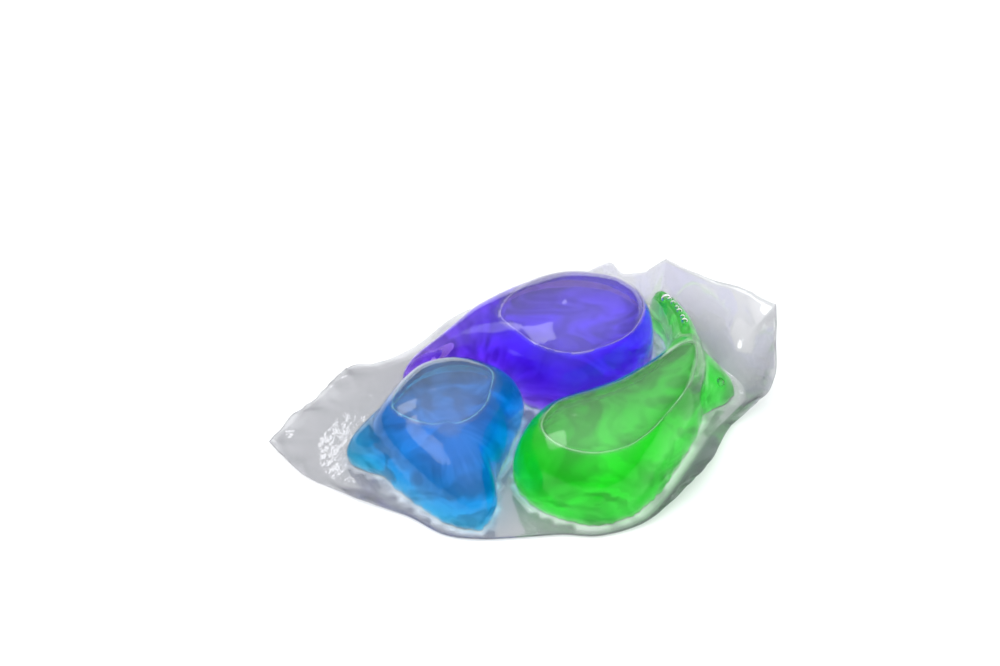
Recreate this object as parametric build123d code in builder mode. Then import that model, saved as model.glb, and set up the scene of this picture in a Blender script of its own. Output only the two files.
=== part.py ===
"""Three-chamber liquid laundry capsule, in millimetres.

Two water-soluble films are sealed face to face. The lower one (lid_film) is flat, and the pod lies
on it. The upper one (formed_film) is drawn up into three comma-shaped chambers that swirl round the
middle, each with its own liquid under a small air pocket. The films run on past the chambers as a
wide skirt, flat on the left and curled up on the right.
"""
from build123d import *
import math
import os

os.makedirs("parts", exist_ok=True)

# ---- driving dimensions -------------------------------------------------------------------------
skirt_length = 80.9     # corner to corner of the cut film, along X
skirt_width = 63.1      # front to back of the cut film, along Y
chamber_height = 14.8   # tallest chamber above its seal
flap_rise = 10.0        # how high the curled corner of the skirt stands
edge_clear = 0.15       # least height of the cut edge, so that the pod lies on its flat seal alone
film_gauge = 0.08       # thickness of each film
blue_level = 10.8       # liquid surface above the lid film
violet_level = 10.4
green_level = 11.0
crown_power = 2.7       # how square-shouldered the chambers are: 2 is an ellipse
foot_tuck = 0.05        # how far each chamber draws in again at its seal, as a share of its width
tuck_share = 0.22       # share of the height over which it draws in

# ---- shapes, at the nominal plan size of 80.9 by 63.1 ---------------------------------------------
NOMINAL_LENGTH = 80.9
NOMINAL_WIDTH = 63.1
NOMINAL_RISE = 10.0
NOMINAL_HEIGHT = 14.8

# Crest of each chamber: x, y, height. The surface falls from here to the outline all round.
blue_crest = [(-13.6, -9.9, 13.8), (-13.3, -13.2, 13.9), (-12.4, -17.4, 12.5)]
violet_crest = [(13.5, 10.3, 14.6), (6.0, 9.5, 14.8), (-1.5, 10.6, 12.2), (-8.5, 11.2, 9.3),
                (-15.0, 8.0, 6.0)]
green_crest = [(8.7, -18.2, 13.8), (14.2, -17.2, 13.9), (20.0, -11.8, 13.6), (23.9, -5.0, 13.2),
               (25.8, 2.2, 11.9), (25.9, 8.1, 9.6), (24.9, 15.1, 8.2), (23.2, 21.6, 7.0)]

# Outline of each chamber: x, y, the place on the crest that it faces (0 is the first crest point,
# 1 the second and so on), and how far it runs out into a corner pocket at the seal.
blue_outline = [(-25.0, -11.9, 0.4, 3.6), (-22.4, -17.4, 1.5, 0.0), (-17.5, -23.6, 2.0, 0.0),
                (-12.3, -28.3, 2.0, 0.0), (-7.4, -29.6, 2.0, 0.0), (-4.8, -26.0, 2.0, 0.0),
                (-4.6, -18.9, 1.8, 0.0), (-2.0, -9.9, 0.7, 0.0), (-0.5, -1.9, 0.0, 0.0),
                (-4.8, 2.8, 0.0, 0.0), (-11.2, 4.4, 0.0, 0.0), (-17.2, 2.1, 0.0, 0.0),
                (-21.4, -3.0, 0.0, 0.0)]
violet_outline = [(20.4, 10.6, 0.0, 0.0), (20.9, 16.6, 0.0, 0.0), (18.7, 22.1, 0.0, 0.0),
                  (13.8, 26.1, 0.1, 0.0), (6.8, 27.4, 0.8, 0.0), (-1.0, 25.6, 1.9, 0.0),
                  (-7.8, 21.4, 2.8, 0.0), (-13.4, 15.2, 3.4, 0.0), (-18.6, 9.4, 4.0, 0.0),
                  (-20.0, 5.5, 4.0, 0.0), (-15.3, 6.2, 3.9, 0.0), (-9.0, 6.8, 3.2, 0.0),
                  (-3.6, 4.2, 2.3, 0.0), (0.8, -0.3, 1.5, 0.0), (7.0, -2.3, 0.9, 0.0),
                  (13.0, 0.2, 0.3, 0.0), (17.8, 4.9, 0.0, 0.0)]
green_outline = [(-1.8, -13.9, 0.0, 0.0), (-2.6, -18.7, 0.0, 0.0), (-0.4, -23.4, 0.0, 0.0),
                 (4.0, -26.8, 0.0, 0.0), (10.0, -28.5, 0.2, 0.0), (15.5, -26.5, 0.8, 0.0),
                 (19.6, -21.9, 1.2, 0.0), (22.8, -15.9, 1.9, 0.0), (26.2, -8.9, 2.7, 0.0),
                 (28.2, -1.9, 3.6, 0.0), (29.0, 4.6, 4.4, 4.6), (28.4, 13.1, 5.7, 0.0),
                 (26.8, 19.1, 6.5, 0.0), (24.3, 24.1, 7.0, 0.0), (21.3, 25.9, 7.0, 0.0),
                 (20.6, 22.6, 6.9, 0.0), (22.4, 17.6, 6.4, 0.0), (22.9, 12.4, 5.7, 0.0),
                 (21.2, 6.6, 4.8, 0.0), (17.4, 1.3, 3.8, 0.0), (12.0, -2.5, 2.6, 0.0),
                 (6.0, -4.9, 0.7, 0.0), (1.0, -8.8, 0.0, 0.0)]
crest_share = 0.9       # a section stops where the crest is this near to it
crest_tries = 50        # places tried between two crest points
pocket_share = 0.5      # share of the chamber's height over which a corner pocket dies away

# Cut edge of the films, from corner to corner: x, y, height, and how far in the flat seal begins.
front_edge = [(-40.5, -9.0, 0.4, 8.0), (-34.9, -16.2, 0.0, 3.5), (-30.4, -19.3, 0.0, 2.0),
              (-25.2, -22.7, 0.0, 3.0), (-18.5, -25.9, 0.0, 0.8), (-12.8, -30.1, 0.0, 0.6),
              (-7.3, -31.2, 0.0, 0.6), (-1.0, -30.8, 0.0, 0.6), (5.0, -30.2, 0.0, 0.6),
              (10.8, -30.4, 0.0, 0.6), (17.6, -27.7, 0.5, 0.9), (22.4, -23.2, 1.5, 2.0),
              (25.8, -19.3, 2.0, 3.0)]
right_edge = [(25.8, -19.3, 2.0, 3.0), (28.8, -13.5, 1.5, 3.0), (31.3, -6.9, 1.0, 2.5),
              (34.0, -2.8, 0.8, 2.4), (37.5, -0.6, 2.5, 4.5), (39.5, 2.3, 4.0, 5.0),
              (39.9, 7.1, 7.5, 5.5), (40.4, 14.1, 10.0, 10.4)]
flap_edge = [(40.4, 14.1, 10.0, 10.4), (34.9, 19.1, 9.4, 6.4), (28.8, 24.3, 9.0, 2.9),
             (23.5, 29.5, 8.0, 2.0)]
back_edge = [(23.5, 29.5, 8.0, 2.0), (20.7, 30.0, 5.4, 3.0), (16.6, 30.2, 4.4, 3.0),
             (13.3, 31.5, 5.6, 3.0), (6.5, 30.9, 2.5, 2.0), (-1.0, 29.3, 1.5, 1.7),
             (-11.0, 24.1, 1.0, 1.5), (-18.0, 15.8, 0.6, 1.5), (-24.4, 11.7, 0.0, 2.5),
             (-29.0, 10.6, 0.0, 6.0), (-33.2, 3.4, 0.0, 7.0), (-37.2, -2.3, 0.0, 8.0),
             (-40.5, -9.0, 0.4, 8.0)]

# Shares of the chamber's height at which its sections are taken.
section_shares = [0.0, 0.08, 0.18, 0.32, 0.46, 0.58, 0.68, 0.78, 0.86, 0.93, 0.975]

plan_x = skirt_length / NOMINAL_LENGTH
plan_y = skirt_width / NOMINAL_WIDTH
lift = chamber_height / NOMINAL_HEIGHT
curl = flap_rise / NOMINAL_RISE


def crest_at(crest, place):
    """Point of the crest at a place counted in crest points: x, y and height."""
    first = min(int(place), len(crest) - 2)
    share = place - first
    x, y, height = [a + (b - a) * share for a, b in zip(crest[first], crest[first + 1])]
    return x * plan_x, y * plan_y, height * lift


def crest_above(crest, height):
    """First and last place on the crest that stand clear above a height."""
    tries = [i / crest_tries for i in range(crest_tries * (len(crest) - 1) + 1)]
    tallest = max(tries, key=lambda place: crest_at(crest, place)[2])
    clear = [place for place in tries if crest_at(crest, place)[2] * crest_share >= height]
    return min(clear + [tallest]), max(clear + [tallest])


def section_points(outline, crest, share, inset):
    """Points round a chamber at a share of its height, and their height, drawn in by the inset."""
    height = share * lift * max(height for _, _, height in crest)
    first, last = crest_above(crest, height)
    points = []
    for x, y, place, pocket in outline:
        crest_x, crest_y, crest_height = crest_at(crest, min(max(place, first), last))
        away_x = x * plan_x - crest_x
        away_y = y * plan_y - crest_y
        away = math.hypot(away_x, away_y)
        local_share = height / crest_height
        width = (1 - local_share**crown_power) ** 0.5
        width *= 1 - foot_tuck * max(0.0, 1 - local_share / tuck_share) ** 2
        bulge = pocket * max(0.0, 1 - share / pocket_share) ** 2
        reach = away * width + bulge - inset
        points.append((crest_x + away_x / away * reach, crest_y + away_y / away * reach))
    return points, film_gauge + max(0.0, height - inset)


def chamber_solid(outline, crest, inset):
    """Closed solid of one chamber, standing on the lid film: its outside, or its inside if inset."""
    gaps = [math.dist(a[:2], b[:2]) for a, b in zip(outline, outline[1:] + outline[:1])]
    steps = [sum(gaps[:i]) / sum(gaps) for i in range(len(gaps) + 1)]
    with BuildPart(mode=Mode.PRIVATE) as body:
        for share in section_shares:
            points, z = section_points(outline, crest, share, inset)
            corners = [Vector(*point) for point in points]
            ring = Edge.make_spline(corners, periodic=True, parameters=steps)
            with BuildSketch(Plane.XY.offset(z)):
                with BuildLine():
                    add(ring)
                make_face()
        loft(ruled=True)
    return body.part


def rim_curves(edge):
    """The cut edge of one stretch of skirt, and the line where its flat seal begins."""
    outer = []
    inner = []
    for x, y, z, reach in edge:
        share = 1 - reach / math.hypot(x, y)
        outer.append(Vector(x * plan_x, y * plan_y, max(z * curl, edge_clear)))
        inner.append(Vector(x * plan_x * share, y * plan_y * share, 0))
    return Edge.make_spline(outer), Edge.make_spline(inner)


def film_faces(height):
    """Faces of a film before it has a thickness: the flat seal, and the skirt round it."""
    curves = [rim_curves(edge) for edge in (front_edge, right_edge, flap_edge, back_edge)]
    seal = Face(Wire([inner for _, inner in curves]))
    skirt = [Face.make_surface_from_curves(inner, outer) for outer, inner in curves]
    return [face.moved(Location((0, 0, height))) for face in (seal, *skirt)]


chambers = [
    ("blue_liquid", blue_outline, blue_crest, blue_level),
    ("violet_liquid", violet_outline, violet_crest, violet_level),
    ("green_liquid", green_outline, green_crest, green_level),
]

outsides = [chamber_solid(outline, crest, 0) for _, outline, crest, _ in chambers]
insides = [chamber_solid(outline, crest, film_gauge) for _, outline, crest, _ in chambers]

# ---- flat film underneath -------------------------------------------------------------------------
with BuildPart() as lid_film:
    for face in film_faces(0):
        extrude(to_extrude=face, amount=film_gauge, dir=(0, 0, 1))
lid_film.part.label = "lid_film"
export_step(lid_film.part, "parts/lid_film.step")

# ---- film drawn up into the three chambers ----------------------------------------------------------
with BuildPart() as formed_film:
    for face in film_faces(film_gauge):
        extrude(to_extrude=face, amount=film_gauge, dir=(0, 0, 1))
    add(outsides)
    add(insides, mode=Mode.SUBTRACT)
formed_film.part.label = "formed_film"
export_step(formed_film.part, "parts/formed_film.step")

# ---- liquids, each filling its chamber up to its own level --------------------------------------------
for (name, _, _, level), inside in zip(chambers, insides):
    with BuildPart() as liquid:
        add(inside)
        split(bisect_by=Plane.XY.offset(film_gauge + level), keep=Keep.BOTTOM)
    liquid.part.label = name
    export_step(liquid.part, f"parts/{name}.step")
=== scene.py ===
"""Three-chamber liquid laundry capsule: clear film drawn up over blue, violet and green liquids."""
import math

import bmesh
import bpy
from bpy.props import FloatProperty, FloatVectorProperty, IntProperty, PointerProperty
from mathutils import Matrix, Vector, kdtree, noise
from mathutils.geometry import delaunay_2d_cdt


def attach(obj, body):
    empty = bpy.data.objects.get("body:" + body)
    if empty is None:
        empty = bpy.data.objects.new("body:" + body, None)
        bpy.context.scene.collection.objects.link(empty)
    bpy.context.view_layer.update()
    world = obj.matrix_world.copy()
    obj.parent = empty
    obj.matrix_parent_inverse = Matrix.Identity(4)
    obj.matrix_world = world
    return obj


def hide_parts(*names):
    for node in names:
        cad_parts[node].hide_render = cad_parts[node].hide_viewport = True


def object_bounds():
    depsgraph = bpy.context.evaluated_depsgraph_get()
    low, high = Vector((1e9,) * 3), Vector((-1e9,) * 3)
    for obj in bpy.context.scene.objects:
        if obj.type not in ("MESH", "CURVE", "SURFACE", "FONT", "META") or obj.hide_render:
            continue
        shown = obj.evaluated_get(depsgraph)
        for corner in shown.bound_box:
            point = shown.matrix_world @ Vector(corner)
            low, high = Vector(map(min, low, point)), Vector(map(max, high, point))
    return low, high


bl_info = {
    "name": "Laundry Pod",
    "version": (1, 0, 0),
    "blender": (4, 5, 0),
    "location": "View3D > Sidebar > Pod",
    "description": "Builds a three-chamber liquid capsule with its film, liquids, floor and lights",
    "category": "Add Mesh",
}

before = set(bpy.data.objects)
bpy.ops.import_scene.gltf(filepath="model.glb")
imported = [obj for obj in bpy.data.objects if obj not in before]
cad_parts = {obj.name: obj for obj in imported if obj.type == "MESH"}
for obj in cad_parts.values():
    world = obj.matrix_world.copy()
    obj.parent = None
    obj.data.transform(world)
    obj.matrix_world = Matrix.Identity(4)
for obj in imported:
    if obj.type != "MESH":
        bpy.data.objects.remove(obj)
CAD_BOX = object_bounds()

MM = 0.001
FLOOR_DROP = 0.05 * MM     # the floor lies this far below the film

# ---- shapes, in millimetres ---------------------------------------------------------------------
# Crest of each chamber: x, y, height above the lower film.
BLUE_CREST = [(-13.6, -9.9, 13.8), (-13.3, -13.2, 13.9), (-12.6, -16.6, 11.5)]
VIOLET_CREST = [(13.5, 10.3, 14.6), (6.0, 9.5, 14.8), (-1.5, 10.6, 12.2), (-8.5, 11.2, 9.3),
                (-15.0, 8.0, 6.0)]
GREEN_CREST = [(8.7, -18.2, 13.8), (14.2, -17.2, 13.9), (20.0, -11.8, 13.6), (23.9, -5.0, 13.2),
               (25.8, 2.2, 11.9), (25.9, 8.1, 9.6), (24.9, 15.1, 8.2), (23.2, 21.6, 7.0)]

# Outline of each chamber: x, y, the place on the crest it faces, reach of a corner pocket.
BLUE_OUTLINE = [(-25.0, -11.9, 0.4, 3.6), (-22.4, -17.4, 1.5, 0.0), (-17.5, -23.6, 2.0, 0.0),
                (-12.3, -28.3, 2.0, 0.0), (-7.4, -29.6, 2.0, 0.0), (-4.8, -26.0, 2.0, 0.0),
                (-4.6, -18.9, 1.8, 0.0), (-2.0, -9.9, 0.7, 0.0), (-0.5, -1.9, 0.0, 0.0),
                (-4.8, 2.8, 0.0, 0.0), (-11.2, 4.4, 0.0, 0.0), (-17.2, 2.1, 0.0, 0.0),
                (-21.4, -3.0, 0.0, 0.0)]
VIOLET_OUTLINE = [(20.4, 10.6, 0.0, 0.0), (20.9, 16.6, 0.0, 0.0), (18.7, 22.1, 0.0, 0.0),
                  (13.8, 26.1, 0.1, 0.0), (6.8, 27.4, 0.8, 0.0), (-1.0, 25.6, 1.9, 0.0),
                  (-7.8, 21.4, 2.8, 0.0), (-13.4, 15.2, 3.4, 0.0), (-18.6, 9.4, 4.0, 0.0),
                  (-20.0, 5.5, 4.0, 0.0), (-15.3, 6.2, 3.9, 0.0), (-9.0, 6.8, 3.2, 0.0),
                  (-3.6, 4.2, 2.3, 0.0), (0.8, -0.3, 1.5, 0.0), (7.0, -2.3, 0.9, 0.0),
                  (13.0, 0.2, 0.3, 0.0), (17.8, 4.9, 0.0, 0.0)]
GREEN_OUTLINE = [(-1.8, -13.9, 0.0, 0.0), (-2.6, -18.7, 0.0, 0.0), (-0.4, -23.4, 0.0, 0.0),
                 (4.0, -26.8, 0.0, 0.0), (10.0, -28.5, 0.2, 0.0), (15.5, -26.5, 0.8, 0.0),
                 (19.6, -21.9, 1.2, 0.0), (22.8, -15.9, 1.9, 0.0), (26.2, -8.9, 2.7, 0.0),
                 (28.2, -1.9, 3.6, 0.0), (29.0, 4.6, 4.4, 4.6), (28.4, 13.1, 5.7, 0.0),
                 (26.8, 19.1, 6.5, 0.0), (24.3, 24.1, 7.0, 0.0), (21.3, 25.9, 7.0, 0.0),
                 (20.6, 22.6, 6.9, 0.0), (22.4, 17.6, 6.4, 0.0), (22.9, 12.4, 5.7, 0.0),
                 (21.2, 6.6, 4.8, 0.0), (17.4, 1.3, 3.8, 0.0), (12.0, -2.5, 2.6, 0.0),
                 (6.0, -4.9, 0.7, 0.0), (1.0, -8.8, 0.0, 0.0)]

# Cut edge of the films in four stretches between corners: x, y, height, reach in to the flat seal.
RIM = [
    [(-40.5, -9.0, 0.4, 8.0), (-34.9, -16.2, 0.0, 3.5), (-30.4, -19.3, 0.0, 2.0),
     (-25.2, -22.7, 0.0, 3.0), (-18.5, -25.9, 0.0, 0.8), (-12.8, -30.1, 0.0, 0.6),
     (-7.3, -31.2, 0.0, 0.6), (-1.0, -30.8, 0.0, 0.6), (5.0, -30.2, 0.0, 0.6),
     (10.8, -30.4, 0.0, 0.6), (17.6, -27.7, 0.5, 0.9), (22.4, -23.2, 1.5, 2.0),
     (25.8, -19.3, 2.0, 3.0)],
    [(25.8, -19.3, 2.0, 3.0), (28.8, -13.5, 1.5, 3.0), (31.3, -6.9, 1.0, 2.5),
     (34.0, -2.8, 0.8, 2.4), (37.5, -0.6, 2.5, 4.5), (39.5, 2.3, 4.0, 5.0),
     (39.9, 7.1, 7.5, 5.5), (40.4, 14.1, 10.0, 10.4)],
    [(40.4, 14.1, 10.0, 10.4), (34.9, 19.1, 9.4, 6.4), (28.8, 24.3, 9.0, 2.9),
     (23.5, 29.5, 8.0, 2.0)],
    [(23.5, 29.5, 8.0, 2.0), (20.7, 30.0, 5.4, 3.0), (16.6, 30.2, 4.4, 3.0),
     (13.3, 31.5, 5.6, 3.0), (6.5, 30.9, 2.5, 2.0), (-1.0, 29.3, 1.5, 1.7),
     (-11.0, 24.1, 1.0, 1.5), (-18.0, 15.8, 0.6, 1.5), (-24.4, 11.7, 0.0, 2.5),
     (-29.0, 10.6, 0.0, 6.0), (-33.2, 3.4, 0.0, 7.0), (-37.2, -2.3, 0.0, 8.0),
     (-40.5, -9.0, 0.4, 8.0)],
]

CROWN_POWER = 2.7          # how square-shouldered a chamber is
CROWN_SHARE = 0.97         # of its crest's height that a chamber's crown reaches
CROWN_TURN = 88.2          # degrees round a chamber's shoulder at which its last ring lies
FOOT_TUCK = 0.05           # share of its width by which it draws in at the seal
TUCK_SHARE = 0.22          # share of its height over which that dies away
POCKET_SHARE = 0.5         # share of its height over which a corner pocket dies away
FILM_GAUGE = 0.08          # the film's thickness
LID_GAUGE = FILM_GAUGE * 0.9
WET_GAP = 0.03             # between the film's inside and the liquid
EDGE_CLEAR = 0.15          # least height of the cut edge
BUBBLE_GAP = 0.25          # between a small bubble and the chamber's wall
MENISCUS_STEPS = (0.12, 0.26, 0.42, 0.62, 0.88, 1.25, 1.7)
MENISCUS_FADE = 0.5        # distance over which a liquid's raised edge dies away
SURFACE_SINK = 0.02        # a liquid's surface starts this far below its cut wall
WELD = 0.02                # vertices nearer than this are merged
SEAL_PUCKER = 0.28         # depth of the fine puckers all round a seal
SEAL_FADE = 0.16           # share of the height over which they die away
CRINKLE_FORCE = 1.8        # times the depth of a crinkled place
CRINKLE_FADE = 0.45        # share of the height over which it dies away
SWELL = 0.10               # depth of the broad unevenness of a whole chamber
RIPPLE_HEIGHT = 1.5        # of the loose skirt's broad ripples
FOLD_HEIGHT = 0.7          # of the skirt's narrow folds
LOOSE_WIDTH = 5.0          # a skirt as wide as this ripples fully
CURL_POWER = 1.25          # how late the skirt turns up towards its cut edge
SEAL_SPACING = 1.3         # between the points of the flat seal
SURFACE_SPACING = 0.9      # between the points of a liquid's surface
BUBBLE_SQUASH = 0.82       # a bubble's height, as a share of its width
CROWN_BLEND = 0.35         # height over which film over liquid turns to film over air

# ---- finishes -----------------------------------------------------------------------------------
FILM_HAZE = 0.24           # share of grey in film that is seen straight on
FILM_EDGE_HAZE = 0.7       # added where it turns away
FILM_SHINE = 0.05          # share of mirror gloss in film that is seen straight on
FILM_EDGE_SHINE = 0.5      # added where it turns away
CROWN_DULLS = 0.015        # gloss lost over an air pocket
WET_CLEARS = 0.95          # share of the haze lost over liquid
WET_DULLS = 0.92           # share of the gloss lost over liquid
FILM_GREY = (0.64, 0.64, 0.66, 1)
WATER_IOR = 1.37
PAINTED_HIGHLIGHT_SHARE = 0.6           # strength of the painted highlight, a fine bright line where a liquid meets the film
WHITE = (1, 1, 1, 1)
FOOT_SHADE = (0.55, 0.55, 0.55, 1)

# Each liquid's density of colour, and the tint of the painted highlight line at its edge.
LIQUID_LOOKS = {
    "blue": (400.0, (0.35, 0.85, 1.0)),
    "violet": (180.0, (0.8, 0.72, 1.0)),
    "green": (230.0, (0.7, 1.0, 0.7)),
}

# ---- stage, in metres ---------------------------------------------------------------------------
SKY_COLOUR = (0.97, 0.985, 1.0, 1)
SKY_STRENGTH = (0.35, 1.8)     # at the horizon and overhead
# Soft boxes: name, direction, distance, width and height, radiance.
LAMPS = (
    ("left", (-0.67, 0.04, 0.74), 0.55, (0.3, 0.26), 2.6),
    ("back", (-0.14, 0.76, 0.63), 0.8, (0.06, 0.05), 2.6),
)
CAMERA_ELEVATION = 37          # degrees
CAMERA_DISTANCE = 0.374
CAMERA_AIM = Vector((2.0, -3.9, 0)) * MM
CAMERA_LEFT = 0.00634
CAMERA_UP = 0.01457

# Crinkled places of each chamber: x, y, radius, depth.
CRINKLES = {
    "blue": [(-8.5, -29.0, 7.0, 0.34), (-24.0, -16.0, 4.5, 0.22), (-1.0, -4.0, 5.0, 0.15)],
    "violet": [(-18.0, 8.0, 6.0, 0.20), (3.0, -1.0, 6.0, 0.14), (18.0, 6.0, 4.0, 0.16)],
    "green": [(12.5, -28.0, 5.5, 0.42), (21.0, -20.0, 5.0, 0.22), (29.0, 3.0, 5.0, 0.2),
              (23.0, 22.0, 6.0, 0.22), (-2.0, -20.0, 5.0, 0.12)],
}

# Small air bubbles that cling to each chamber's wall: x and y of the outline beside them, depth
# below the level, radius.
BUBBLES = {
    "blue": [(-20.0, -1.0, 1.0, 0.55), (-18.0, 1.5, 0.9, 0.4), (-15.5, 3.0, 0.8, 0.3),
             (-21.8, -3.5, 0.9, 0.35), (-8.0, 4.5, 0.9, 0.3)],
    "violet": [(14.8, 26.1, 0.9, 0.4), (17.6, 23.5, 0.9, 0.3), (20.9, 15.0, 1.0, 0.35),
               (-6.0, 22.6, 2.0, 0.4), (-11.0, 18.6, 3.6, 0.3)],
    "green": [(23.0, 11.0, 1.9, 0.5), (23.0, 12.6, 2.2, 0.38), (22.8, 14.4, 2.6, 0.45),
              (22.6, 16.0, 2.9, 0.32), (22.0, 18.2, 3.4, 0.4), (21.4, 20.4, 3.8, 0.34),
              (24.6, 23.6, 4.6, 0.9), (1.0, -8.8, 1.0, 0.4), (2.6, -7.6, 1.1, 0.3),
              (29.4, 4.6, 8.0, 0.8)],
}


def spline_at(points, place, closed):
    """Catmull-Rom point through rows of numbers, at a place counted in rows."""
    count = len(points)
    first = int(math.floor(place))
    share = place - first
    if not closed:
        first = min(first, count - 2)
        share = place - first
    rows = []
    for step in (-1, 0, 1, 2):
        index = first + step
        rows.append(points[index % count] if closed else points[min(max(index, 0), count - 1)])
    result = []
    for a, b, c, d in zip(*rows):
        slope_b = (c - a) / 2
        slope_c = (d - b) / 2
        rise = c - b
        result.append(b + share * (slope_b + share * ((3 * rise - 2 * slope_b - slope_c)
                                                      + share * (slope_b + slope_c - 2 * rise))))
    return result


def chamber_columns(outline, count):
    """Even steps round a chamber's outline: x, y, place on the crest, reach of the pocket."""
    fine = [spline_at(outline, i * len(outline) / 2000, True) for i in range(2001)]
    length = [0.0]
    for a, b in zip(fine, fine[1:]):
        length.append(length[-1] + math.dist(a[:2], b[:2]))
    columns = []
    index = 0
    for i in range(count):
        target = length[-1] * i / count
        while length[index + 1] < target:
            index += 1
        columns.append(fine[index])
    places = [column[2] for column in columns]
    for _ in range(count // 12):
        places = [(places[i - 1] + 2 * places[i] + places[(i + 1) % count]) / 4
                  for i in range(count)]
    return [(x, y, place, max(0.0, pocket)) for (x, y, _, pocket), place in zip(columns, places)]


def crinkle(name, x, y, share, height):
    """How far the film is pushed out at a point of a chamber, from its puckered seal upwards."""
    near_seal = math.exp(-share / SEAL_FADE)
    around = noise.noise(Vector((x * 0.75, y * 0.75, 3.0))) + 0.6 * noise.noise(
        Vector((x * 1.7, y * 1.7, height * 0.35)))
    push = SEAL_PUCKER * near_seal * around
    for at_x, at_y, radius, depth in CRINKLES[name]:
        far = math.hypot(x - at_x, y - at_y) / radius
        fade = math.exp(-far * far) * math.exp(-share / CRINKLE_FADE)
        rough = noise.noise(Vector((x * 1.1, y * 1.1, height * 0.7)))
        push += CRINKLE_FORCE * depth * fade * rough
    push += SWELL * noise.noise(Vector((x * 0.16, y * 0.16, height * 0.2 + 9.0)))
    return push


def chamber_rings(name, chamber, inset, columns, rows):
    """Rings of points up a chamber, from its seal to its crest, drawn in by the inset."""
    outline, crest, _ = chamber
    rings = []
    sides = chamber_columns(outline, columns)
    for row in range(rows + 1):
        angle = math.radians(CROWN_TURN) * row / rows
        width = math.cos(angle)
        share = math.sin(angle) ** (2 / CROWN_POWER)
        ring = []
        for x, y, place, pocket in sides:
            facing = min(max(place, 0), len(crest) - 1.001)
            crest_x, crest_y, height = spline_at(crest, facing, False)
            tuck = 1 - FOOT_TUCK * max(0.0, 1 - share / TUCK_SHARE) ** 2
            away = Vector((x - crest_x, y - crest_y))
            reach = (away.length - inset) * width * tuck
            reach += pocket * max(0.0, 1 - (share / POCKET_SHARE) ** 2)
            reach += crinkle(name, x, y, share, height * share) * min(1.0, width * 3)
            spot = away.normalized() * reach
            top = share * (height * CROWN_SHARE - inset)
            ring.append(Vector((crest_x + spot.x, crest_y + spot.y, FILM_GAUGE * 2 + top)))
        rings.append(ring)
    return rings


def inside(loop, x, y):
    """Whether a point lies inside a closed loop of points."""
    odd = False
    before = loop[-1]
    for point in loop:
        if (point[1] > y) != (before[1] > y):
            crossing = point[0] + (y - point[1]) * (before[0] - point[0]) / (before[1] - point[1])
            odd = odd != (x < crossing)
        before = point
    return odd


def fill_region(bm, outer, holes, spacing, height_at, insets=()):
    """Triangles between a loop of vertices and holes, with inner points at an even spacing."""
    loops = [outer, *holes]
    flat = [[(v.co.x / MM, v.co.y / MM) for v in loop] for loop in loops]
    points = [Vector(p) for loop in flat for p in loop]
    verts = [v for loop in loops for v in loop]
    edges = []
    start = 0
    for loop in loops:
        edges += [(start + i, start + (i + 1) % len(loop)) for i in range(len(loop))]
        start += len(loop)
    tree = kdtree.KDTree(len(points))
    for i, point in enumerate(points):
        tree.insert((point.x, point.y, 0), i)
    tree.balance()
    for i, point in enumerate(flat[0] if insets else ()):
        before, after = flat[0][i - 1], flat[0][(i + 1) % len(flat[0])]
        along = Vector((after[0] - before[0], after[1] - before[1])).normalized()
        side = Vector((-along.y, along.x))
        if not inside(flat[0], *(Vector(point) + side * insets[0])):
            side = -side
        for inset in insets:
            x, y = Vector(point) + side * inset
            gap = tree.find((x, y, 0))[2]
            if gap > inset * 0.93 and inside(flat[0], x, y):
                verts.append(bm.verts.new((x * MM, y * MM, height_at(x, y, gap) * MM)))
                points.append(Vector((x, y)))
    xs = [p[0] for p in flat[0]]
    ys = [p[1] for p in flat[0]]
    clear = max([spacing * 0.6, *[inset + spacing * 0.5 for inset in insets]])
    for column in range(int((max(xs) - min(xs)) / spacing) + 1):
        for row in range(int((max(ys) - min(ys)) / spacing) + 1):
            x = min(xs) + (column + 0.5 * (row % 2)) * spacing
            y = min(ys) + row * spacing
            gap = tree.find((x, y, 0))[2]
            if gap < clear or not inside(flat[0], x, y):
                continue
            if any(inside(hole, x, y) for hole in flat[1:]):
                continue
            verts.append(bm.verts.new((x * MM, y * MM, height_at(x, y, gap) * MM)))
            points.append(Vector((x, y)))
    made = delaunay_2d_cdt(points, edges, [], 0, 1e-5)
    coords, faces, source = made[0], made[2], made[3]
    for face in faces:
        middle = sum((coords[i] for i in face), Vector((0, 0))) / 3
        if not inside(flat[0], *middle) or any(inside(hole, *middle) for hole in flat[1:]):
            continue
        corners = [verts[source[i][0]] for i in face if source[i]]
        if len(set(corners)) == 3 and not bm.faces.get(corners):
            bm.faces.new(corners)


def join_rings(bm, rings):
    """Vertices of rings stacked up a wall, joined by faces."""
    rows = [[bm.verts.new(point * MM) for point in ring] for ring in rings]
    for below, above in zip(rows, rows[1:]):
        for i in range(len(below)):
            j = (i + 1) % len(below)
            bm.faces.new((below[i], below[j], above[j], above[i]))
    return rows


def close_crown(bm, ring):
    """The narrow slit left along a crest, closed with triangles."""
    edges = [bm.edges.get((ring[i], ring[(i + 1) % len(ring)])) for i in range(len(ring))]
    bmesh.ops.triangle_fill(bm, edges=edges, use_beauty=True)


def rim_columns(step):
    """Pairs of points round the skirt: where the flat seal ends, and the cut edge."""
    pairs = []
    for stretch in RIM:
        length = sum(math.dist(a[:2], b[:2]) for a, b in zip(stretch, stretch[1:]))
        count = max(4, round(length / step))
        for i in range(count):
            x, y, z, reach = spline_at(stretch, i * (len(stretch) - 1) / count, False)
            share = 1 - reach / math.hypot(x, y)
            pairs.append((Vector((x * share, y * share, 0)), Vector((x, y, max(EDGE_CLEAR, z)))))
    return pairs


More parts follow.
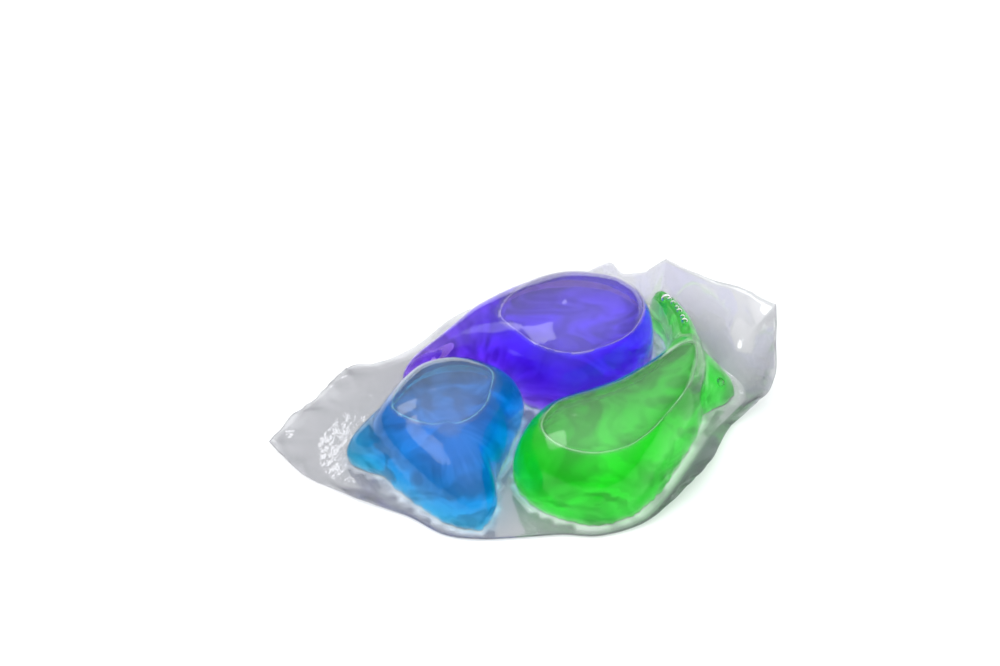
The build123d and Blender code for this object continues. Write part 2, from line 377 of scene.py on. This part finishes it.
def skirt_lift(x, y, out):
    """Ripple of the loose skirt at a point, growing from the seal to the cut edge."""
    wave = noise.noise(Vector((x * 0.11, y * 0.11, 1.0))) + 0.6 * noise.noise(
        Vector((x * 0.27, y * 0.27, 5.0)))
    fold = 1 - abs(noise.noise(Vector((x * 0.2 + y * 0.1, y * 0.06, 2.0)))) * 3
    lift = max(0.0, 0.25 + wave) * RIPPLE_HEIGHT + max(0.0, fold) ** 2 * FOLD_HEIGHT
    return lift * min(1.0, out * 1.3)


def film_sheet(bm, holes, low, rows=14, step=0.55):
    """Flat seal and skirt of a film with its underside at a height, round holes left open."""
    pairs = rim_columns(step)
    rings = []
    for row in range(rows + 1):
        out = row / rows
        ring = []
        for seal, edge in pairs:
            x = seal.x + (edge.x - seal.x) * out
            y = seal.y + (edge.y - seal.y) * out
            width = math.dist(seal[:2], edge[:2])
            loose = min(1.0, width / LOOSE_WIDTH)
            curl = edge.z * out ** CURL_POWER
            lift = skirt_lift(x, y, out) * loose * (0.5 + 0.5 * min(1.0, edge.z / 3))
            ring.append(Vector((x, y, low + curl + lift * out)))
        rings.append(ring)
    rows_made = join_rings(bm, rings)
    fill_region(bm, rows_made[0], holes, SEAL_SPACING, lambda x, y, gap: low)


def chambers():
    """Outline, crest and liquid level of each chamber, by its colour."""
    pod = bpy.context.scene.pod
    return {
        "blue": (BLUE_OUTLINE, BLUE_CREST, pod.blue_level / MM),
        "violet": (VIOLET_OUTLINE, VIOLET_CREST, pod.violet_level / MM),
        "green": (GREEN_OUTLINE, GREEN_CREST, pod.green_level / MM),
    }


def new_piece(name, bm):
    """Object of a finished mesh, linked to the scene and smooth."""
    bmesh.ops.recalc_face_normals(bm, faces=bm.faces)
    mesh = bpy.data.meshes.new(name)
    bm.to_mesh(mesh)
    bm.free()
    piece = bpy.data.objects.new(name, mesh)
    bpy.context.scene.collection.objects.link(piece)
    mesh.shade_smooth()
    return piece


def deselect_all():
    """Nothing left selected, as an operator acts on all that is."""
    for other in bpy.context.selected_objects:
        other.select_set(False)


def apply_thickness(piece, thickness):
    """A wall's thickness, put into the mesh below the faces it has."""
    deselect_all()
    bpy.context.view_layer.objects.active = piece
    piece.select_set(True)
    wall = piece.modifiers.new("wall", "SOLIDIFY")
    wall.thickness = thickness
    wall.offset = -1.0
    wall.use_even_offset = False
    bpy.ops.object.modifier_apply(modifier=wall.name)
    piece.select_set(False)


# ---- materials ------------------------------------------------------------------------------------
class Socket:
    """A shader value that builds Math nodes when it is used in an expression."""

    def __init__(self, tree, link):
        self.tree = tree
        self.link = link

    def math(self, operation, other, swap=False):
        node = self.tree.nodes.new("ShaderNodeMath")
        node.operation = operation
        values = [other, self] if swap else [self, other]
        for slot, value in zip(node.inputs, values):
            if isinstance(value, Socket):
                self.tree.links.new(value.link, slot)
            elif value is not None:
                slot.default_value = value
        return Socket(self.tree, node.outputs[0])

    def __add__(self, other):
        return self.math("ADD", other)

    __radd__ = __add__

    def __sub__(self, other):
        return self.math("SUBTRACT", other)

    def __rsub__(self, other):
        return self.math("SUBTRACT", other, swap=True)

    def __mul__(self, other):
        return self.math("MULTIPLY", other)

    __rmul__ = __mul__

    def __pow__(self, other):
        return self.math("POWER", other)


class Shader:
    """A new node material, with one method that adds any node."""

    def __init__(self, name):
        self.material = bpy.data.materials.new(name)
        self.material.use_nodes = True
        self.tree = self.material.node_tree
        self.tree.nodes.clear()

    def add(self, kind, settings=None, output=0, **values):
        node = self.tree.nodes.new("ShaderNode" + kind)
        for key, value in (settings or {}).items():
            setattr(node, key, value)
        for key, value in values.items():
            label = int(key[1:]) if key[1:].isdigit() else key.replace("_", " ")
            slot = node.inputs[label]
            if isinstance(value, Socket):
                self.tree.links.new(value.link, slot)
            else:
                slot.default_value = value
        return Socket(self.tree, node.outputs[output])

    def finish(self, surface, volume=None):
        out = self.tree.nodes.new("ShaderNodeOutputMaterial")
        self.tree.links.new(surface.link, out.inputs["Surface"])
        if volume is not None:
            self.tree.links.new(volume.link, out.inputs["Volume"])
        return self.material


def film_material():
    """Clear glossy film: a faint grey haze, stronger where it turns away, and mirror-like gloss."""
    shader = Shader("clear_film")
    wet = shader.add("Attribute", {"attribute_name": "wet"}, output=2)
    facing = shader.add("LayerWeight", Blend=0.5, output=1)
    spots = shader.add("TexCoord", output=3)
    pucker = shader.add("TexNoise", Vector=spots, Scale=420.0, Detail=3.0)
    bump = shader.add("Bump", Height=pucker, Strength=0.12, Distance=0.0004)
    clear = shader.add("BsdfTransparent", Color=WHITE)
    grey = shader.add("BsdfTransparent", Color=FILM_GREY)
    crown = shader.add("Attribute", {"attribute_name": "crown"}, output=2)
    misty = ((facing ** 2.0) * FILM_EDGE_HAZE + FILM_HAZE) * (1 - wet * WET_CLEARS)
    body = shader.add("MixShader", _0=misty, _1=clear, _2=grey)
    gloss = shader.add("BsdfGlossy", Color=WHITE, Roughness=0.04, Normal=bump)
    shine = (facing ** 4.0) * FILM_EDGE_SHINE + FILM_SHINE - crown * CROWN_DULLS
    shine = shine * (1 - wet * WET_DULLS)
    return shader.finish(shader.add("MixShader", _0=shine, _1=body, _2=gloss))


def liquid_material(name, absorbs, density, glint):
    """Coloured clear liquid that lets the lamps through to what lies under it, with a painted
    highlight line at its edge.
    """
    shader = Shader(name)
    spots = shader.add("TexCoord", output=3)
    pucker = shader.add("TexNoise", Vector=spots, Scale=260.0, Detail=2.0)
    bump = shader.add("Bump", Height=pucker, Strength=0.02, Distance=0.0004)
    water = shader.add("BsdfPrincipled", Base_Color=WHITE, Roughness=0.02, IOR=WATER_IOR,
                       Transmission_Weight=1.0, Normal=bump)
    # painted highlight: the edge mask blends in a light diffuse line in the glint tint where the
    # liquid meets the film
    edge = shader.add("Attribute", {"attribute_name": "edge"}, output=2)
    painted_highlight = shader.add("BsdfDiffuse", Color=(*glint, 1))
    water = shader.add("MixShader", _0=edge * PAINTED_HIGHLIGHT_SHARE, _1=water, _2=painted_highlight)
    lamps = shader.add("LightPath", output=1)
    through = shader.add("BsdfTransparent", Color=WHITE)
    surface = shader.add("MixShader", _0=lamps, _1=water, _2=through)
    volume = shader.add("VolumeAbsorption", Color=(*absorbs, 1), Density=density)
    return shader.finish(surface, volume)


def foot_material(name):
    """Underside of a liquid, pressed to the white table through the lid film."""
    shader = Shader(name)
    spots = shader.add("TexCoord", output=3)
    swirl = shader.add("TexNoise", Vector=spots, Scale=130.0, Detail=1.5, Distortion=1.6)
    shade = shader.add("MapRange", _0=swirl, _1=0.38, _2=0.64)
    tone = shader.add("Mix", {"data_type": "RGBA"}, output=2, _0=shade, _6=FOOT_SHADE, _7=WHITE)
    return shader.finish(shader.add("BsdfPrincipled", Base_Color=tone, Roughness=0.85))


def floor_material():
    """Matt white table."""
    shader = Shader("white_table")
    spots = shader.add("TexCoord", output=3)
    grain = shader.add("TexNoise", Vector=spots, Scale=60.0, Detail=2.0)
    rough = grain * 0.1 + 0.75
    top = shader.add("BsdfPrincipled", Base_Color=(0.93, 0.93, 0.93, 1), Roughness=rough)
    return shader.finish(top)


# ---- add-on ---------------------------------------------------------------------------------------
class PodSettings(bpy.types.PropertyGroup):
    """Sizes and colours of the pod."""

    blue_level: FloatProperty(
        name="Blue level", description="Height of the blue liquid's surface",
        default=10.8 * MM, unit="LENGTH")
    violet_level: FloatProperty(
        name="Violet level", description="Height of the violet liquid's surface",
        default=10.4 * MM, unit="LENGTH")
    green_level: FloatProperty(
        name="Green level", description="Height of the green liquid's surface",
        default=11.0 * MM, unit="LENGTH")
    meniscus: FloatProperty(
        name="Meniscus", description="How far a liquid climbs the film at its edge",
        default=0.35 * MM, unit="LENGTH")
    blue_passes: FloatVectorProperty(
        name="Blue", description="Colour that the blue liquid lets through",
        subtype="COLOR", default=(0.0, 0.83, 0.955))
    violet_passes: FloatVectorProperty(
        name="Violet", description="Colour that the violet liquid lets through",
        subtype="COLOR", default=(0.45, 0.0, 1.0))
    green_passes: FloatVectorProperty(
        name="Green", description="Colour that the green liquid lets through",
        subtype="COLOR", default=(0.0, 0.935, 0.08))
    columns: IntProperty(name="Columns", description="Points round each chamber", default=190, min=24)
    rows: IntProperty(name="Rows", description="Points up each chamber", default=46, min=8)


class POD_OT_film(bpy.types.Operator):
    """Film drawn up into the three chambers, with its seal and skirt"""

    bl_idname = "pod.film"
    bl_label = "Formed film"

    def execute(self, context):
        pod = context.scene.pod
        bm = bmesh.new()
        wet = bm.verts.layers.float.new("wet")
        crown = bm.verts.layers.float.new("crown")
        holes = []
        for name, chamber in chambers().items():
            rings = chamber_rings(name, chamber, 0.0, pod.columns, pod.rows)
            rows = join_rings(bm, rings)
            close_crown(bm, rows[-1])
            holes.append(rows[0])
            level = (chamber[2] + FILM_GAUGE) * MM
            for row in rows:
                for vert in row:
                    above = (vert.co.z - level) / (CROWN_BLEND * MM)
                    vert[crown] = min(1.0, max(0.0, above))
                    vert[wet] = 1 - vert[crown]
            for vert in rows[0]:
                vert.co.z = 2 * FILM_GAUGE * MM
        film_sheet(bm, holes, 2 * FILM_GAUGE)
        piece = new_piece("chamber_film", bm)
        apply_thickness(piece, FILM_GAUGE * MM)
        piece.data.materials.append(film_material())
        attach(piece, "root")
        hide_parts("formed_film")
        return {"FINISHED"}


class POD_OT_under_film(bpy.types.Operator):
    """Flat film that closes the chambers from below"""

    bl_idname = "pod.under_film"
    bl_label = "Lid film"

    def execute(self, context):
        bm = bmesh.new()
        layer = bm.verts.layers.float.new("wet")
        film_sheet(bm, [], LID_GAUGE)
        holes = [[(x, y) for x, y, _, _ in chamber_columns(c[0], 90)] for c in chambers().values()]
        for vert in bm.verts:
            vert[layer] = any(inside(hole, vert.co.x / MM, vert.co.y / MM) for hole in holes)
        piece = new_piece("under_film", bm)
        apply_thickness(piece, LID_GAUGE * MM)
        piece.data.materials.append(film_material())
        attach(piece, "root")
        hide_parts("lid_film")
        return {"FINISHED"}


def liquid_piece(name, colour, passes, density, glint):
    """A liquid that fills its chamber up to its level, with a raised edge and small air bubbles."""
    pod = bpy.context.scene.pod
    chamber = chambers()[colour]
    bm = bmesh.new()
    # the edge mask marks the liquid's cut rim, where the painted highlight line is drawn
    layer = bm.verts.layers.float.new("edge")
    rings = chamber_rings(colour, chamber, FILM_GAUGE + WET_GAP, pod.columns, pod.rows)
    rows = join_rings(bm, rings)
    close_crown(bm, rows[-1])
    base = rows[0]
    foot = [bm.edges.get((base[i], base[(i + 1) % len(base)])) for i in range(len(base))]
    for face in bmesh.ops.triangle_fill(bm, edges=foot, use_beauty=True)["geom"]:
        if isinstance(face, bmesh.types.BMFace):
            face.material_index = 1
    level = chamber[2] + FILM_GAUGE
    climb = pod.meniscus / MM
    bmesh.ops.bisect_plane(bm, geom=bm.verts[:] + bm.edges[:] + bm.faces[:],
                           plane_co=(0, 0, (level + climb) * MM), plane_no=(0, 0, 1),
                           clear_outer=True)
    bmesh.ops.remove_doubles(bm, verts=bm.verts, dist=WELD * MM)
    edges = {e for e in bm.edges if e.is_boundary}
    while edges:
        edge = edges.pop()
        loop = [edge.verts[0], edge.verts[1]]
        while True:
            onward = [e for e in loop[-1].link_edges if e in edges]
            if not onward:
                break
            edges.discard(onward[0])
            loop.append(onward[0].other_vert(loop[-1]))
        if loop[-1] is loop[0]:
            loop.pop()
        # the rim at the liquid's surface gets the painted highlight
        for vert in loop:
            vert[layer] = 1.0

        def surface(x, y, gap):
            return level + climb * math.exp(-gap / MENISCUS_FADE) - SURFACE_SINK

        fill_region(bm, loop, [], SURFACE_SPACING, surface, MENISCUS_STEPS)
    piece = new_piece(name, bm)
    piece.data.materials.append(liquid_material(name + "_finish", passes, density, glint))
    piece.data.materials.append(foot_material(name + "_foot"))
    cavities = []
    for x, y, depth, radius in BUBBLES[colour]:
        deselect_all()
        side = min(range(pod.columns), key=lambda i: math.dist(rings[0][i][:2], (x, y)))
        wall = min((ring[side] for ring in rings),
                   key=lambda point: abs(point.z - level + depth))
        inward = rings[-1][side] - wall
        inward.z = 0
        spot = wall + inward.normalized() * (radius + BUBBLE_GAP)
        spot.z = level - depth
        bpy.ops.mesh.primitive_ico_sphere_add(subdivisions=3, radius=radius * MM,
                                              location=spot * MM)
        bubble = bpy.context.object
        bpy.ops.object.mode_set(mode="EDIT")
        bpy.ops.mesh.select_all(action="SELECT")
        bpy.ops.transform.resize(value=(1.0, 1.0, BUBBLE_SQUASH))
        bpy.ops.mesh.flip_normals()
        bpy.ops.object.mode_set(mode="OBJECT")
        bubble.data.shade_smooth()
        bubble.data.materials.append(piece.data.materials[0])
        cavities.append(bubble)
    deselect_all()
    for bubble in cavities:
        bubble.select_set(True)
    piece.select_set(True)
    bpy.context.view_layer.objects.active = piece
    bpy.ops.object.join()
    piece.select_set(False)
    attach(piece, "root")
    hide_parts(colour + "_liquid")


class POD_OT_liquids(bpy.types.Operator):
    """The three coloured liquids"""

    bl_idname = "pod.liquids"
    bl_label = "Liquids"

    def execute(self, context):
        pod = context.scene.pod
        liquid_piece("blue_fill", "blue", pod.blue_passes, *LIQUID_LOOKS["blue"])
        liquid_piece("violet_fill", "violet", pod.violet_passes, *LIQUID_LOOKS["violet"])
        liquid_piece("green_fill", "green", pod.green_passes, *LIQUID_LOOKS["green"])
        return {"FINISHED"}


def soft_box(name, toward, distance, size, radiance):
    """Rectangular studio light that faces the pod from a direction, as bright as asked."""
    lamp = bpy.data.lights.new(name, "AREA")
    lamp.shape = "RECTANGLE"
    lamp.size, lamp.size_y = size
    lamp.energy = radiance * math.pi * size[0] * size[1]
    holder = bpy.data.objects.new(name, lamp)
    way = Vector(toward).normalized()
    holder.location = way * distance
    holder.rotation_euler = way.to_track_quat("Z", "Y").to_euler()
    bpy.context.scene.collection.objects.link(holder)


class POD_OT_stage(bpy.types.Operator):
    """White table, soft studio light and the camera"""

    bl_idname = "pod.stage"
    bl_label = "Stage"

    def execute(self, context):
        deselect_all()
        bpy.ops.mesh.primitive_plane_add(size=4.0, location=(0, 0, 0))
        floor = context.object
        floor.name = "table"
        floor.data.transform(floor.matrix_world)
        floor.matrix_world.identity()
        for vert in floor.data.vertices:
            vert.co.z = CAD_BOX[0][2] - FLOOR_DROP
        floor.data.materials.append(floor_material())

        world = bpy.data.worlds.new("studio")
        world.use_nodes = True
        sky = world.node_tree.nodes["Background"]
        sky.inputs[0].default_value = SKY_COLOUR
        links = world.node_tree.links
        direction = world.node_tree.nodes.new("ShaderNodeTexCoord")
        parts = world.node_tree.nodes.new("ShaderNodeSeparateXYZ")
        links.new(direction.outputs["Generated"], parts.inputs[0])
        rise = world.node_tree.nodes.new("ShaderNodeMapRange")
        for slot, value in zip(rise.inputs[1:5], (0.0, 1.0, *SKY_STRENGTH)):
            slot.default_value = value
        links.new(parts.outputs["Z"], rise.inputs[0])
        links.new(rise.outputs[0], sky.inputs[1])
        context.scene.world = world
        for lamp in LAMPS:
            soft_box(*lamp)

        camera = bpy.data.cameras.new("camera")
        camera.lens = 85
        camera.sensor_width = 36
        camera.clip_start = 0.01
        eye = bpy.data.objects.new("camera", camera)
        elevation = math.radians(CAMERA_ELEVATION)
        look = Vector((0, math.cos(elevation), -math.sin(elevation)))
        up = Vector((0, math.sin(elevation), math.cos(elevation)))
        left = Vector((-1, 0, 0))
        eye.location = CAMERA_AIM - look * CAMERA_DISTANCE + left * CAMERA_LEFT + up * CAMERA_UP
        eye.rotation_euler = look.to_track_quat("-Z", "Y").to_euler()
        context.scene.collection.objects.link(eye)
        context.scene.camera = eye
        context.scene.view_settings.view_transform = "Standard"
        context.scene.cycles.transparent_max_bounces = 32
        return {"FINISHED"}


class POD_PT_panel(bpy.types.Panel):
    """Sidebar panel that builds the pod."""

    bl_label = "Laundry Pod"
    bl_idname = "POD_PT_panel"
    bl_space_type = "VIEW_3D"
    bl_region_type = "UI"
    bl_category = "Pod"

    def draw(self, context):
        pod = context.scene.pod
        for name in PodSettings.__annotations__:
            self.layout.prop(pod, name)
        for operator in (POD_OT_film, POD_OT_under_film, POD_OT_liquids, POD_OT_stage):
            self.layout.operator(operator.bl_idname)


CLASSES = (PodSettings, POD_OT_film, POD_OT_under_film, POD_OT_liquids, POD_OT_stage, POD_PT_panel)


def register():
    for item in CLASSES:
        bpy.utils.register_class(item)
    bpy.types.Scene.pod = PointerProperty(type=PodSettings)


def unregister():
    del bpy.types.Scene.pod
    for item in reversed(CLASSES):
        bpy.utils.unregister_class(item)


def main():
    register()
    bpy.ops.pod.stage()
    bpy.ops.pod.under_film()
    bpy.ops.pod.liquids()
    bpy.ops.pod.film()


if __name__ == "__main__":
    main()
